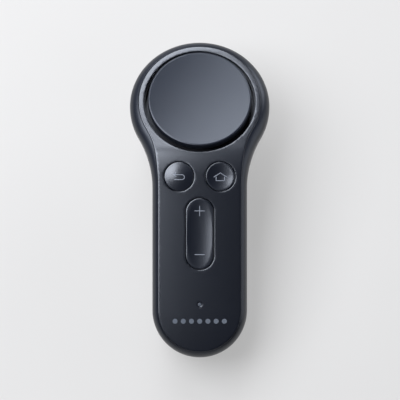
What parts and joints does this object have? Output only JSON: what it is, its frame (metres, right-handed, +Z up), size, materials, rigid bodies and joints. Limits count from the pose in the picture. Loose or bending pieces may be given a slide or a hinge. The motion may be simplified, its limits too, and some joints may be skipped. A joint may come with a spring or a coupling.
{
  "type": "vr motion controller",
  "caption": "Slim handheld motion controller with a tilted round touchpad head, thumb keys, a trigger behind the head and a sliding battery cover.",
  "frame": {"origin": "centre of the bounding box in plan, on the surface that the part rests on with its face up", "axes": "+Z up from that surface, +Y along the handle from the tail to the touchpad head, +X to the right seen from above"},
  "size_m": [0.048, 0.1094, 0.0359],
  "materials": {
    "casing": "satin moulded, very fine grain",
    "band": "satin moulded",
    "pad": "smooth satin, soft touch",
    "key": "satin moulded",
    "frame_plastic": "plain moulded, fine grain",
    "board": "solder mask over glass fibre",
    "silicone": "matt silicone",
    "film": "amber polyimide film",
    "steel": "bright, lightly brushed",
    "chip": "matt epoxy",
    "light": "clear frosted",
    "led": "clear resin",
    "cell": "printed sleeve, plain colour bands"
  },
  "bodies": {
    "housing": {"front_cover": "casing", "upper_housing": "band", "rear_housing": "casing", "chassis": "frame_plastic", "touchpad_well": "frame_plastic", "touchpad_switch": "steel", "head_board": "board", "keymat": "silicone", "key_switches": "steel", "main_board": "board", "radio_shield": "steel", "controller_chip": "chip", "motion_sensor": "chip", "ribbon_cable": "film", "status_led": "led", "led_lens": "light", "trigger_pin": "steel", "trigger_spring": "steel", "trigger_switch": "chip", "trigger_bracket": "frame_plastic", "battery_left": "cell", "battery_right": "cell", "contact_springs": "steel", "contact_plates": "steel", "contact_bridge": "steel", "housing_screws": "steel", "board_screws": "steel"},
    "touchpad": {"touchpad_disc": "pad", "touch_sensor_board": "board", "touchpad_carrier": "frame_plastic"},
    "back_button": {"back_button": "key"},
    "home_button": {"home_button": "key"},
    "volume_rocker": {"volume_rocker": "key"},
    "trigger": {"trigger": "key"},
    "battery_cover": {"battery_cover": "casing"}
  },
  "joints": [
    {"name": "touchpad_click", "type": "slide", "parent": "housing", "child": "touchpad", "axis": [0, -0.1523, -0.9883], "range_m": [0, 0.0004], "stiffness_N_per_m": 6000, "springref_m": -0.0002},
    {"name": "back_press", "type": "slide", "parent": "housing", "child": "back_button", "axis": [0, 0.2629, -0.9648], "range_m": [0, 0.0004], "stiffness_N_per_m": 3000, "springref_m": -0.0002},
    {"name": "home_press", "type": "slide", "parent": "housing", "child": "home_button", "axis": [0, 0.2629, -0.9648], "range_m": [0, 0.0004], "stiffness_N_per_m": 3000, "springref_m": -0.0002},
    {"name": "volume_rock", "type": "hinge", "parent": "housing", "child": "volume_rocker", "pos_m": [0, -0.01417, 0.02575], "axis": [1, 0, 0], "range_deg": [-2, 2], "stiffness_Nm_per_rad": 0.2},
    {"name": "trigger_pull", "type": "hinge", "parent": "housing", "child": "trigger", "pos_m": [0, 0.02888, 0.02065], "axis": [-1, 0, 0], "range_deg": [0, 13], "stiffness_Nm_per_rad": 0.06, "springref_deg": -20.05},
    {"name": "battery_cover_slide", "type": "slide", "parent": "housing", "child": "battery_cover", "axis": [0, -0.9648, -0.2629], "range_m": [0, 0.014]}
  ]
}
